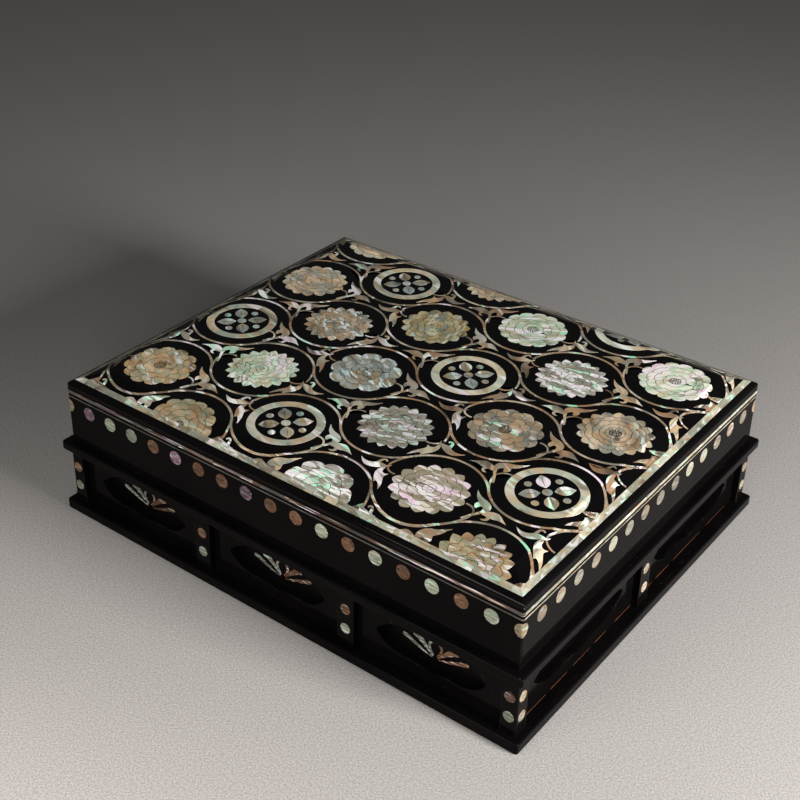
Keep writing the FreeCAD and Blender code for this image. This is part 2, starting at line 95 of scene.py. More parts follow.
# Tints of shell: its dark, warm, cool and pale body colours, then the colours of the highlights painted on
# it.
SHELLS = {
    "tan": ([(98, 88, 74), (178, 150, 116), (144, 145, 132), (202, 182, 154)],
            [(198, 200, 184), (234, 218, 194), (206, 212, 206)]),
    "gold": ([(92, 86, 68), (168, 146, 98), (136, 144, 126), (190, 178, 138)],
             [(170, 190, 170), (222, 210, 168), (190, 204, 196)]),
    "silver": ([(86, 82, 76), (156, 144, 130), (142, 148, 130), (180, 178, 168)],
               [(196, 236, 222), (246, 246, 244), (222, 214, 226)]),
    "blue": ([(84, 84, 74), (156, 140, 110), (134, 146, 144), (176, 186, 180)],
             [(196, 228, 222), (238, 248, 244), (214, 216, 220)]),
    "mint": ([(104, 102, 86), (180, 172, 144), (160, 182, 158), (206, 214, 192)],
             [(176, 246, 204), (252, 255, 252), (244, 230, 238)]),
    "pink": ([(100, 94, 78), (168, 154, 128), (158, 154, 130), (190, 178, 164)],
             [(250, 214, 234), (255, 250, 252), (240, 232, 216)]),
    "peach": ([(112, 98, 78), (192, 156, 114), (168, 168, 138), (210, 190, 154)],
              [(196, 214, 184), (240, 218, 204), (222, 220, 196)]),
    "cream": ([(138, 128, 108), (204, 184, 150), (182, 192, 174), (222, 218, 200)],
              [(196, 240, 212), (252, 252, 248), (238, 222, 230)]),
    "vine": ([(92, 78, 64), (158, 126, 96), (134, 130, 116), (198, 188, 164)],
             [(190, 240, 210), (252, 252, 248), (230, 228, 214)]),
    "smoke": ([(46, 38, 34), (116, 78, 52), (74, 88, 78), (128, 106, 116)],
              [(160, 224, 188), (210, 210, 206), (176, 126, 148)]),
    "brown": ([(64, 46, 36), (146, 98, 64), (112, 90, 74), (164, 126, 98)],
              [(160, 146, 122), (186, 150, 126), (150, 112, 108)]),
    "rose": ([(70, 54, 58), (142, 104, 104), (112, 96, 122), (168, 140, 152)],
             [(214, 150, 186), (196, 184, 206), (160, 214, 196)]),
}


# ---- materials ----
class Shader:
    """A material and its node tree, built one node at a time. Lengths are in millimetres."""

    def __init__(self, name):
        self.material = bpy.data.materials.new(name)
        self.material.use_nodes = True
        self.tree = self.material.node_tree
        self.surface = self.tree.nodes["Principled BSDF"]
        self.place = self.add("ShaderNodeTexCoord").outputs["Object"]

    def add(self, kind, **settings):
        node = self.tree.nodes.new(kind)
        for key, value in settings.items():
            setattr(node, key, value)
        return node

    def feed(self, socket, value):
        """Links a socket to another node's output, or sets it to a plain value."""
        if isinstance(value, bpy.types.NodeSocket):
            self.tree.links.new(value, socket)
        else:
            socket.default_value = value

    def grid(self, stretch=(1, 1, 1), turn=0.0):
        """Object coordinates in millimetres, turned about Z and then stretched."""
        turned = self.add("ShaderNodeMapping")
        turned.inputs["Rotation"].default_value = (0, 0, math.radians(turn))
        turned.inputs["Scale"].default_value = (1 / MM,) * 3
        self.feed(turned.inputs["Vector"], self.place)
        scaled = self.add("ShaderNodeMapping")
        scaled.inputs["Scale"].default_value = stretch
        self.feed(scaled.inputs["Vector"], turned.outputs[0])
        return scaled.outputs[0]

    def noise(self, vector, scale, detail=3.0, distortion=0.0, roughness=0.5):
        node = self.add("ShaderNodeTexNoise")
        self.feed(node.inputs["Vector"], vector)
        for key, value in (("Scale", scale), ("Detail", detail), ("Distortion", distortion),
                           ("Roughness", roughness)):
            node.inputs[key].default_value = value
        return node.outputs["Fac"]

    def sums(self, operation, one, two, third=0.0):
        node = self.add("ShaderNodeMath", operation=operation)
        for socket, value in zip(node.inputs, (one, two, third)):
            self.feed(socket, value)
        return node.outputs[0]

    def remap(self, value, low, high, to_low=0.0, to_high=1.0):
        node = self.add("ShaderNodeMapRange")
        for key, v in (("Value", value), ("From Min", low), ("From Max", high),
                       ("To Min", to_low), ("To Max", to_high)):
            self.feed(node.inputs[key], v)
        return node.outputs[0]

    def ramp(self, factor, stops):
        node = self.add("ShaderNodeValToRGB")
        elements = node.color_ramp.elements
        while len(elements) < len(stops):
            elements.new(0.5)
        for element, (place, colour) in zip(elements, stops):
            element.position = place
            element.color = colour
        self.feed(node.inputs["Fac"], factor)
        return node.outputs["Color"]

    def mix(self, factor, one, two):
        node = self.add("ShaderNodeMix", data_type="RGBA")
        self.feed(node.inputs[0], factor)
        self.feed(node.inputs[6], one)
        self.feed(node.inputs[7], two)
        return node.outputs[2]

    def bump(self, height, strength, distance, normal=None):
        node = self.add("ShaderNodeBump")
        node.inputs["Strength"].default_value = strength
        node.inputs["Distance"].default_value = distance * MM
        self.feed(node.inputs["Height"], height)
        if normal is not None:
            self.feed(node.inputs["Normal"], normal)
        return node.outputs[0]

    def surfaced(self, **values):
        """Feeds the surface's sockets, with _ for each space in their names; returns the material."""
        for name, value in values.items():
            self.feed(self.surface.inputs[name.replace("_", " ")], value)
        return self.material


def even_stops(colours):
    """Stops for a ramp that spread the colours evenly."""
    return [(k / (len(colours) - 1), colour) for k, colour in enumerate(colours)]


def nacre(name, tint, highlight_tint, turn, highlight_cover, by_piece, size, tone=1.0, shine=0.4):
    """Polished abalone, clouded with warm and cool tints and crossed by bright painted highlights.
    highlight_tint names the tint whose highlight colours it takes, turn is the direction of the growth
    lines, highlight_cover how much the painted highlights cover, by_piece how much one piece differs from
    the next, size how large the clouds are, tone how bright the shell is, shine how much it mirrors."""
    sh = Shader(name)
    dark, warm, cool, pale = [rgb(*c) for c in SHELLS[tint][0]]
    highlight_colours = [tuple(min(1.0, tone) * v for v in rgb(*c)[:3]) + (1,) for c in SHELLS[highlight_tint][1]]
    chance = sh.add("ShaderNodeTexWhiteNoise", noise_dimensions="1D")
    sh.feed(chance.inputs["W"], sh.add("ShaderNodeNewGeometry").outputs["Random Per Island"])
    apart = sh.add("ShaderNodeVectorMath", operation="SCALE")
    sh.feed(apart.inputs[0], chance.outputs["Color"])
    apart.inputs["Scale"].default_value = 4 * by_piece

    def clouds(along, across, detail, distortion):
        """Noise whose grains are about so many millimetres along and across the growth lines."""
        spot = sh.add("ShaderNodeVectorMath", operation="ADD")
        sh.feed(spot.inputs[0], sh.grid((1 / along / size, 1 / across / size, 1.0), turn))
        sh.feed(spot.inputs[1], apart.outputs[0])
        return sh.noise(spot.outputs[0], 1.0, detail, distortion)

    hue = sh.remap(clouds(9, 7, 2.0, 0.5), 0.42, 0.58)
    colour = sh.mix(hue, warm, cool)
    depth = clouds(11, 6, 3.0, 0.8)
    colour = sh.mix(sh.remap(depth, 0.46, 0.3), colour, dark)
    colour = sh.mix(sh.remap(depth, 0.52, 0.66), colour, pale)
    lit = sh.add("ShaderNodeHueSaturation")
    lit.inputs["Value"].default_value = tone
    sh.feed(lit.inputs["Color"], colour)
    # Painted highlights: where this mask is high, bright highlight colours replace the body colour.
    highlight_spread = clouds(15, 3.6, 1.0, 0.6)
    edge = 0.66 - 0.2 * highlight_cover
    fibre = clouds(6, 0.7, 2.0, 0.2)
    painted_highlight = sh.ramp(sh.remap(clouds(12, 8, 1.0, 0.4), 0.36, 0.64), even_stops(highlight_colours))
    highlight_mask = sh.sums("MULTIPLY", sh.remap(highlight_spread, edge, edge + 0.07), sh.remap(fibre, 0.3, 0.5, 0.6, 1.0))
    colour = sh.mix(highlight_mask, lit.outputs[0], painted_highlight)
    shade = sh.add("ShaderNodeHueSaturation")
    each = sh.remap(chance.outputs["Value"], 0.0, 1.0, 0.96 - 0.4 * by_piece, 1.04 + 0.4 * by_piece)
    sh.feed(shade.inputs["Value"], sh.sums("MULTIPLY", each, sh.remap(fibre, 0.25, 0.75, 0.92, 1.06)))
    sh.feed(shade.inputs["Color"], colour)
    return sh.surfaced(Base_Color=shade.outputs[0], Roughness=sh.remap(fibre, 0.3, 0.7, 0.26, 0.4),
                       Metallic=0.08, Specular_IOR_Level=shine, Coat_Weight=shine / 5, Coat_Roughness=0.1,
                       Normal=sh.bump(clouds(7, 1.2, 3.0, 0.3), 0.4, 0.12))


BLACK, RUBBED_BROWN = rgb(7, 6, 6), rgb(96, 52, 34)


def lacquer(name, tint=BLACK, rough=0.07, wear=0.4, wear_tint=RUBBED_BROWN, dust=0.0, shine=0.1):
    """Black lacquer, browner where its arrises are worn, with a faint polish and dust."""
    sh = Shader(name)
    rounded = sh.add("ShaderNodeBevel", samples=4)
    rounded.inputs["Radius"].default_value = 0.45 * MM
    plain = sh.add("ShaderNodeNewGeometry").outputs["Normal"]
    facing = sh.add("ShaderNodeVectorMath", operation="DOT_PRODUCT")
    sh.feed(facing.inputs[0], rounded.outputs[0])
    sh.feed(facing.inputs[1], plain)
    arris = sh.remap(facing.outputs["Value"], 0.97, 0.8)
    rub = sh.remap(sh.noise(sh.grid(), 0.12, detail=5.0, roughness=0.65), 0.5, 0.62)
    worn = sh.sums("MULTIPLY", sh.sums("MULTIPLY", arris, rub), wear)
    cloud = sh.noise(sh.grid(), 0.03, detail=4.0)
    base = sh.mix(sh.remap(cloud, 0.35, 0.65), tint, tuple(1.5 * c for c in tint[:3]) + (1,))
    base = sh.mix(worn, base, wear_tint)
    specks = sh.remap(sh.noise(sh.grid(), 0.9, detail=2.0), 0.76, 0.79)
    base = sh.mix(sh.sums("MULTIPLY", specks, dust), base, rgb(150, 140, 130))
    polish = sh.noise(sh.grid((1, 0.1, 1), 24), 0.8, detail=4.0)
    gloss = sh.remap(polish, 0.3, 0.7, rough * 0.8, rough * 1.25)
    orange_peel = sh.noise(sh.grid(), 0.5, detail=2.0)
    return sh.surfaced(Base_Color=base, Roughness=sh.sums("MULTIPLY_ADD", worn, 0.5, gloss),
                       Specular_IOR_Level=shine,
                       Normal=sh.bump(orange_peel, 0.05, 0.1, rounded.outputs[0]))


def paper_floor(name):
    """Pale grey studio paper with a fine grain."""
    sh = Shader(name)
    grain = sh.noise(sh.grid(), 1.1, detail=4.0, roughness=0.75)
    fleck = sh.noise(sh.grid(), 0.02, detail=3.0)
    tone = sh.mix(sh.remap(grain, 0.3, 0.7), rgb(118, 115, 113), rgb(190, 186, 183))
    tone = sh.mix(sh.sums("MULTIPLY", fleck, 0.12), tone, rgb(146, 143, 142))
    return sh.surfaced(Base_Color=tone, Roughness=0.92, Specular_IOR_Level=0.1,
                       Normal=sh.bump(grain, 0.25, 0.15))


def engraving(name):
    """The dark filling of the engraved lines."""
    sh = Shader(name)
    tone = sh.mix(sh.noise(sh.grid(), 0.6, detail=2.0), rgb(26, 21, 18), rgb(44, 36, 30))
    return sh.surfaced(Base_Color=tone, Roughness=0.35, Specular_IOR_Level=0.3)


LINES = engraving("engraved_lines")


# ---- flat pieces ----
def plate(bm, outline, top, material=0, bottom=SUNK):
    """A closed flat piece: a polygon of (x, y), from bottom to top. Returns its corners."""
    lower = [bm.verts.new((x, y, bottom)) for x, y in outline]
    upper = [bm.verts.new((x, y, top)) for x, y in outline]
    faces = [bm.faces.new(upper), bm.faces.new(lower[::-1])]
    count = len(outline)
    for k in range(count):
        after = (k + 1) % count
        faces.append(bm.faces.new((lower[k], lower[after], upper[after], upper[k])))
    for face in faces:
        face.material_index = material
    return lower + upper


def signed_area(outline):
    return sum(x0 * y1 - x1 * y0 for (x0, y0), (x1, y1) in zip(outline, outline[1:] + outline[:1])) / 2


def counter_clockwise(outline):
    return outline if signed_area(outline) > 0 else outline[::-1]


def polar(radius, degrees, x=0.0, y=0.0):
    """The point at a radius and an angle from (x, y)."""
    a = math.radians(degrees)
    return (x + radius * math.cos(a), y + radius * math.sin(a))


def disc(x, y, radius, count=40):
    return [polar(radius, 360 * k / count, x, y) for k in range(count)]


def arc_band(x, y, radius, width, start, end, steps=None):
    """Curved band about a centre, cut in the given number of steps or in steps of about 4 degrees."""
    steps = steps or max(2, int(abs(end - start) / 4))
    half = width / 2
    outer, inner = [], []
    for k in range(steps + 1):
        t = k / steps
        angle = start + (end - start) * t
        outer.append(polar(radius + half, angle, x, y))
        inner.append(polar(radius - half, angle, x, y))
    return counter_clockwise(outer + inner[::-1])


SHORTEST_EDGE = 0.03


def smooth(points, rounds=2, closed=True):
    """Chaikin's corner cutting. A point given twice running stays nearly sharp."""
    for _ in range(rounds):
        cut = []
        count = len(points)
        pairs = range(count if closed else count - 1)
        for k in pairs:
            (x0, y0), (x1, y1) = points[k], points[(k + 1) % count]
            cut.append((0.75 * x0 + 0.25 * x1, 0.75 * y0 + 0.25 * y1))
            cut.append((0.25 * x0 + 0.75 * x1, 0.25 * y0 + 0.75 * y1))
        points = cut if closed else [points[0]] + cut + [points[-1]]
    cleaned = []
    for p in points:
        if not cleaned or math.dist(p, cleaned[-1]) > SHORTEST_EDGE:
            cleaned.append(p)
    return cleaned


def stroke(path, widths, rounds=2):
    """Outline of a line that swells and thins; path is its middle, widths its width at each point."""
    line = smooth(path, rounds, closed=False)
    total = len(line) - 1
    left, right = [], []
    for k, (x, y) in enumerate(line):
        x0, y0 = line[max(k - 1, 0)]
        x1, y1 = line[min(k + 1, total)]
        length = math.dist((x0, y0), (x1, y1))
        place = k / total * (len(widths) - 1)
        low = min(int(place), len(widths) - 2)
        half = (widths[low] + (widths[low + 1] - widths[low]) * (place - low)) / 2
        nx, ny = -(y1 - y0) / length, (x1 - x0) / length
        left.append((x + nx * half, y + ny * half))
        right.append((x - nx * half, y - ny * half))
    return counter_clockwise(left + right[::-1])


def moved(outline, x=0.0, y=0.0, turn=0.0, flip_x=False, flip_y=False):
    """The outline flipped, turned by so many degrees and then moved."""
    c, s = math.cos(math.radians(turn)), math.sin(math.radians(turn))
    out = []
    for u, v in outline:
        u, v = (-u if flip_x else u), (-v if flip_y else v)
        out.append((x + u * c - v * s, y + u * s + v * c))
    return counter_clockwise(out)


# ---- laying flat pieces on the box ----
def lid_drop(x, y):
    """How far the lid's surface lies below its flat middle."""
    return LID_SLOPE * max(abs(x) - FLAT_X, abs(y) - FLAT_Y, 0.0)


def cut_plane(bm, point, normal, clear=False):
    """Cuts every plate along a plane; clear also removes and closes off what lies beyond it."""
    geometry = bm.verts[:] + bm.edges[:] + bm.faces[:]
    result = bmesh.ops.bisect_plane(bm, geom=geometry, dist=1e-5, plane_co=point, plane_no=normal,
                                    clear_outer=clear)
    if clear:
        edges = [e for e in result["geom_cut"] if isinstance(e, bmesh.types.BMEdge)]
        bmesh.ops.holes_fill(bm, edges=edges)


def lay_on_lid(bm):
    """Cuts flat pieces off at the border, creases them at the lid's folds and drops them onto it."""
    reach_x = max(abs(v.co.x) for v in bm.verts)
    reach_y = max(abs(v.co.y) for v in bm.verts)
    if reach_x > FLAT_X or reach_y > FLAT_Y:
        bmesh.ops.triangulate(bm, faces=[f for f in bm.faces if len(f.verts) > 4])
        for sx in (1, -1):
            cut_plane(bm, (sx * FIELD_X, 0, 0), (sx, 0, 0), clear=True)
            cut_plane(bm, (0, sx * FIELD_Y, 0), (0, sx, 0), clear=True)
        for sx in (1, -1):
            cut_plane(bm, (sx * FLAT_X, 0, 0), (1, 0, 0))
            cut_plane(bm, (0, sx * FLAT_Y, 0), (0, 1, 0))
            for sy in (1, -1):
                cut_plane(bm, (sx * FLAT_X, sy * FLAT_Y, 0), (1, -sx * sy, 0))
    for v in bm.verts:
        v.co.z += LID_TOP - lid_drop(v.co.x, v.co.y)


def halves(side):
    """Half the length of a side, and its distance from the middle of the box."""
    return (HALF_X, HALF_Y) if side in ("front", "back") else (HALF_Y, HALF_X)


PERIMETER = []  # runs of the box's outline: (length, kind, where)
for side in SIDES:
    PERIMETER.append((2 * (halves(side)[0] - CORNER_R), "straight", side))
    PERIMETER.append((math.pi / 2 * CORNER_R, "corner", side))
AROUND = sum(run[0] for run in PERIMETER)
HEADING = {"front": 0, "right": 90, "back": 180, "left": 270}


def around(s, out):
    """Plan position and direction at distance s along the outline, out from the face."""
    s %= AROUND
    for length, kind, side in PERIMETER:
        if s <= length:
            break
        s -= length
    along, deep = halves(side)
    turn = math.radians(HEADING[side])
    if kind == "straight":
        local = Vector((-along + CORNER_R + s, -deep - out))
    else:
        angle = s / CORNER_R
        radius = CORNER_R + out
        local = Vector((along - CORNER_R + radius * math.sin(angle),
                        -deep + CORNER_R - radius * math.cos(angle)))
    return Matrix.Rotation(turn, 2) @ local


def run_start(side):
    """Distance along the outline where a side's straight run starts."""
    before = 0.0
    for length, kind, name in PERIMETER:
        if kind == "straight" and name == side:
            return before
        before += length
    return 0.0


def wrap_on_walls(bm):
    """Bends flat pieces, drawn as (distance along the outline, height), onto the upright faces."""
    before = 0.0
    for length, kind, _ in PERIMETER:
        cuts = [before] if kind == "straight" else [before + length * k / 4 for k in range(4)]
        for cut in cuts:
            for lap in (-AROUND, 0.0, AROUND):
                if any(v.co.x < cut + lap for v in bm.verts) and any(v.co.x > cut + lap for v in bm.verts):
                    cut_plane(bm, (cut + lap, 0, 0), (1, 0, 0))
        before += length
    for v in bm.verts:
        plan = around(v.co.x, v.co.z)
        v.co = (plan.x, plan.y, v.co.y)


def stand_face(side, inset):
    """Matrix from (along, height, out) on a stand face, inset from the body face, to the box."""
    deep = halves(side)[1] - inset
    upright = Matrix(((1, 0, 0, 0), (0, 0, -1, -deep), (0, 1, 0, 0), (0, 0, 0, 1)))
    return Matrix.Rotation(math.radians(HEADING[side]), 4, "Z") @ upright


def piece(bm, name, materials, body, *stands_for):
    """Writes the collected plates as one named piece that rides on a body."""
    bmesh.ops.recalc_face_normals(bm, faces=bm.faces)
    bmesh.ops.scale(bm, vec=(MM,) * 3, verts=bm.verts)
    mesh = bpy.data.meshes.new(name)
    bm.to_mesh(mesh)
    bm.free()
    obj = bpy.data.objects.new(name, mesh)
    bpy.context.scene.collection.objects.link(obj)
    for material in materials:
        mesh.materials.append(material)
    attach(obj, body)
    if stands_for:
        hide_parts(*stands_for)


# ---- flowers ----
BELLY = 0.62  # where along a petal it is widest
RING_TURN, PETAL_TURN = 4, 0.9  # random turns of a ring and of a petal, in degrees
REACH_CHANGE = (-0.35, 0.05)  # random change of a petal's length
VEINED = ("dahlia", "peony")  # styles whose outer petals have a vein
SEEDED = ("double", "rose", "round")  # styles with a disc of seeds in the middle
SEED_DISC_R, SEED_R = 3.4, 0.5
SEED_RINGS = ((0.0, 1), (1.3, 6), (2.5, 11))  # radius and number of seeds
BUD_RADII = (1.5, 1.3)  # the other styles have a small bud with a dark edge


def petal(inner, outer, half, point):
    """A petal along +x from inner to outer. point is 2 for a round tip, nearer 1 for a pointed one."""
    wide = inner + (outer - inner) * BELLY
    tip_steps = 5
    side = [(inner, half * 0.5), (inner + (wide - inner) * 0.5, half * 0.86)]
    for k in range(tip_steps):
        s = k / tip_steps
        side.append((wide + (outer - wide) * s, half * (1 - s ** point) ** (0.5 if point >= 2 else 0.8)))
    lower = [(x, -y) for x, y in side]
    return counter_clockwise(side + [(outer, 0.0)] + lower[::-1])


# Rings of petals from the outside in: (number, inner radius, outer radius, width factor, point).
FLOWERS = {
    "scales": [(15, 11.0, 20.6, 1.06, 1.9), (11, 7.5, 16.0, 1.1, 2.0), (8, 4.0, 11.8, 1.1, 2.0),
               (5, 1.0, 7.4, 1.15, 2.0), (3, 0.2, 3.6, 1.1, 2.0)],
    "dahlia": [(19, 11.5, 20.6, 1.05, 1.35), (15, 8.0, 16.4, 1.08, 1.35), (11, 4.5, 12.2, 1.1, 1.4),
               (8, 1.5, 8.2, 1.1, 1.5), (5, 0.2, 4.4, 1.05, 1.6)],
    "peony": [(9, 7.5, 20.6, 1.12, 2.4), (7, 4.5, 14.6, 1.15, 2.3), (5, 1.0, 9.4, 1.2, 2.2),
              (4, 0.2, 5.0, 1.1, 2.0)],
    "double": [(12, 9.5, 20.6, 1.08, 2.3), (12, 9.5, 18.6, 0.84, 2.3), (11, 5.0, 13.6, 1.1, 2.2),
               (8, 2.5, 9.4, 1.1, 2.0)],
    "rose": [(17, 12.0, 20.6, 1.05, 1.7), (12, 9.0, 16.6, 1.12, 2.0), (9, 5.8, 12.8, 1.14, 2.2),
             (6, 2.6, 9.0, 1.2, 2.3), (4, 0.4, 5.4, 1.25, 2.3)],
    "round": [(14, 12.0, 20.6, 1.08, 2.3), (10, 8.0, 16.2, 1.1, 2.2), (7, 4.0, 11.6, 1.15, 2.2),
              (5, 0.6, 6.8, 1.2, 2.2)],
}


def flower(x, y, name, style, material, seed):
    """A shell roundel engraved with rings of overlapping petals, laid from the outside in."""
    rng = random.Random(seed)
    bm = bmesh.new()
    height = 0.02
    turn = rng.uniform(0, 360)
    for ring, (count, inner, outer, factor, point) in enumerate(FLOWERS[style]):
        turn += 180 / count + rng.uniform(-RING_TURN, RING_TURN)
        widest = inner + (outer - inner) * BELLY
        half = widest * math.sin(math.pi / count) * factor
        for k in range(count):
            angle = turn + 360 * k / count + rng.uniform(-PETAL_TURN, PETAL_TURN)
            reach = outer + rng.uniform(*REACH_CHANGE) * (2 if ring else 1)
            spare = half * rng.uniform(0.97, 1.03)
            step = LEVEL * 0.2 * (k % 3)
            if ring:
                border = petal(inner, reach + LINE, spare + LINE, point)
                plate(bm, moved(border, x, y, angle), height + step, 1)
            shape = petal(inner, reach, spare - (0 if ring else LINE / 2), point)
            plate(bm, moved(shape, x, y, angle), height + LEVEL + step)
            if style in VEINED and ring < 3:
                vein_end = (outer * 0.6 + inner * 0.4, rng.uniform(-0.3, 0.3))
                vein = stroke([(inner + 1, 0), vein_end], [0.16, 0.08], 0)
                plate(bm, moved(vein, x, y, angle), height + LEVEL * 1.3 + step, 1, height)
        height += 2 * LEVEL
    if style in SEEDED:
        plate(bm, disc(x, y, SEED_DISC_R, 24), height, 1)
        for ring_r, count in SEED_RINGS:
            for k in range(count):
                px, py = polar(ring_r, 360 * k / count + seed, x, y)
                plate(bm, disc(px, py, SEED_R, 8), height + LEVEL)
    else:
        plate(bm, disc(x, y, BUD_RADII[0], 20), height, 1)
        plate(bm, disc(x, y, BUD_RADII[1], 20), height + LEVEL)
    lay_on_lid(bm)
    piece(bm, name, [material, LINES], LID, "lid_flower_medallions")


RING_TOP = 0.12  # how proud the ring and its rosette are
RING_JOINTS = (18, 96, 171, 262, 378)  # joints of the ring's lengths of shell, in degrees
RING_JOINT_GAP = 0.15  # half the gap at a joint, in degrees
ROSETTE_LEAF = [(3.5, 0), (3.5, 0), (6.4, 3.4), (10.6, 3.7), (14.5, 0), (14.5, 0), (10.6, -3.7),
                (6.4, -3.4)]
ROSETTE_VEIN = ([(5.0, 0), (8.6, 0.2), (12.6, 0)], [0.12, 0.34, 0.1])
ROSETTE_LEAVES = 4
ROSETTE_MIDDLE_R = 2.6
ROSETTE_DOT_R, ROSETTE_DOT_PLACE = 2.0, 11.2


def ring_medallion(x, y, name, material, filler):
    """A shell ring round a plain rosette of four leaves and four small discs."""
    bm = bmesh.new()
    for k, (start, end) in enumerate(zip(RING_JOINTS, RING_JOINTS[1:])):
        start, end = start + RING_JOINT_GAP, end - RING_JOINT_GAP
        plate(bm, arc_band(x, y, RING_R - RING_W / 2, RING_W, start, end, 26), RING_TOP + 0.004 * k)
    leaf = smooth(ROSETTE_LEAF)
    vein = stroke(*ROSETTE_VEIN)
    for k in range(ROSETTE_LEAVES):
        turn = 360 / ROSETTE_LEAVES * k
        plate(bm, moved(leaf, x, y, 45 + turn), RING_TOP, 1)
        plate(bm, moved(vein, x, y, 45 + turn), RING_TOP + 0.01, 2, RING_TOP - 0.02)
        plate(bm, disc(*polar(ROSETTE_DOT_PLACE, turn, x, y), ROSETTE_DOT_R, 24), RING_TOP, 1)
    plate(bm, disc(x, y, ROSETTE_MIDDLE_R, 28), RING_TOP, 1)
    lay_on_lid(bm)
    piece(bm, name, [material, filler, LINES], LID, "lid_ring_medallions")


# ---- vines ----
def medallions():
    """Places of the medallions: (x, y, row, column), rows staggered by one pitch."""
    places = []
    for row in range(ROWS):
        y = ((ROWS - 1) / 2 - row) * PITCH_Y
        for step in COLUMN_STEPS:
            column = 2 * step - (row % 2)
            places.append((PATTERN_X + (column - 0.5) * PITCH_X, y, row, column))
    return places


def in_field(x, y, radius):
    """Whether enough of a circle lies inside the border to be shown."""
    return abs(x) - radius < FIELD_X - LEAST_SHOWN and abs(y) - radius < FIELD_Y - LEAST_SHOWN


VINE_W = 1.35  # width of a vine
VINE_JOINTS = (0.12, 0.88)  # where along a half circle its joints may lie
VINE_JOINT_GAP = 0.05  # half the gap at a joint, in degrees


def add_vines(bm):
    """Wavy bands that pass over and under every medallion, laid as short lengths of shell."""
    rng = random.Random(5)
    for x, y, _, _ in medallions():
        if not in_field(x, y, VINE_R):
            continue
        for start in (VINE_TILT, 180 + VINE_TILT):
            sweep = 180 - 2 * VINE_TILT
            edges = [0.0, 1.0]
            edges[1:1] = sorted(rng.uniform(*VINE_JOINTS) for _ in range(rng.choice((2, 3, 4))))
            for a, b in zip(edges, edges[1:]):
                width = VINE_W + rng.uniform(-0.08, 0.08)
                near, far = start + sweep * a + VINE_JOINT_GAP, start + sweep * b - VINE_JOINT_GAP
                plate(bm, arc_band(x, y, VINE_R, width, near, far), VINE_TOP + rng.uniform(0, 0.01))


TENDRIL_TURN = 13.0  # degrees below the middle where a tendril leaves its vine
TENDRIL_END = 3.0  # degrees above the middle where it touches the medallion
TENDRIL_TOP = 0.085
TENDRIL_OUT, TENDRIL_IN = 0.5, 0.65  # its edges, out from and in from the vine's middle
CURL_IN = 0.5  # its inner edge where it has left the vine
TENDRIL_STEPS, CURL_STEPS = 8, 12


def add_tendrils(bm):
    """Curls that leave the vine, follow its circle and turn in to touch the medallion."""
    turn = TENDRIL_TURN
    share = math.cos(math.radians(turn + TENDRIL_END))
    reach = (VINE_R ** 2 - RING_R ** 2) / (2 * (VINE_R - RING_R * share))
    small = VINE_R - reach
    cx, cy = polar(reach, -turn)
    touch = polar(RING_R, TENDRIL_END)
    last = math.degrees(math.atan2(touch[1] - cy, touch[0] - cx))
    along = [-VINE_TILT + (VINE_TILT - turn) * k / TENDRIL_STEPS for k in range(TENDRIL_STEPS + 1)]
    curling = [-turn + (last + turn) * k / CURL_STEPS for k in range(1, CURL_STEPS + 1)]
    outer = [polar(VINE_R + TENDRIL_OUT, angle) for angle in along]
    outer += [polar(small + TENDRIL_OUT, angle, cx, cy) for angle in curling]
    inner = [polar(VINE_R - TENDRIL_IN, angle) for angle in along]
    inner += [polar(small - CURL_IN, angle, cx, cy) for angle in curling]
    tendril = outer + inner[::-1]
    for x, y, row, _ in medallions():
        rising = 1 if row % 2 else -1
        if in_field(x, y, VINE_R):
            for side in (1, -1):
                plate(bm, moved(tendril, x, y, 0, side < 0, rising * side > 0), TENDRIL_TOP)


# Leaf scrolls in the gap at the right of a medallion, measured from the medallion's centre. One
# rises from below and one hangs from above. A point given twice running is a sharp tip.
RISING_STEM = ([(25.2, -9.8), (27.0, -5.8), (29.4, -2.2), (31.0, 1.4)], [0.8, 1.3, 2.2])
RISING_HUG = [(29.8, -1.0), (29.7, 2.0), (28.8, 3.5), (27.4, 3.5), (26.9, 2.4), (26.6, 1.0),
              (25.4, 1.2), (24.3, 2.8), (24.0, 4.4), (25.0, 6.2), (23.0, 7.4), (21.0, 9.8),
              (18.9, 13.9), (18.9, 13.9), (21.8, 11.3), (25.0, 9.6), (28.6, 8.8), (31.4, 7.0),
              (32.8, 4.6), (32.4, 2.0), (31.6, 0.0)]
RISING_LEAF = [(30.8, -1.6), (31.6, 1.8), (33.4, 2.6), (35.4, 3.4), (37.6, 3.8), (40.0, 2.6),
               (42.2, 0.8), (45.2, -1.4), (45.2, -1.4), (42.2, -0.8), (39.6, -0.9), (37.6, -1.7),
               (36.2, -1.8), (36.4, -3.2), (35.6, -4.7), (34.0, -5.3), (32.7, -4.7), (32.7, -4.7),
               (33.9, -4.2), (34.8, -3.4), (34.6, -2.2), (33.4, -1.5)]
HANGING_LEAF = [(26.2, 5.0), (27.5, 2.4), (29.2, 2.5), (31.4, 2.6), (33.4, 2.6), (35.0, 1.0),
                (36.8, -0.1), (39.2, -0.4), (41.2, 0.1), (43.4, 1.0), (43.4, 1.0), (40.8, -1.7),
                (38.6, -3.2), (36.4, -3.6), (33.6, -2.9), (31.1, -1.5), (29.4, 0.0), (27.0, 1.8)]
HANGING_CURL = ([(30.3, 5.2), (31.2, 6.4), (32.8, 5.7), (33.3, 3.8), (33.4, 1.8)],
                [1.0, 0.9, 1.4, 1.7, 1.9])
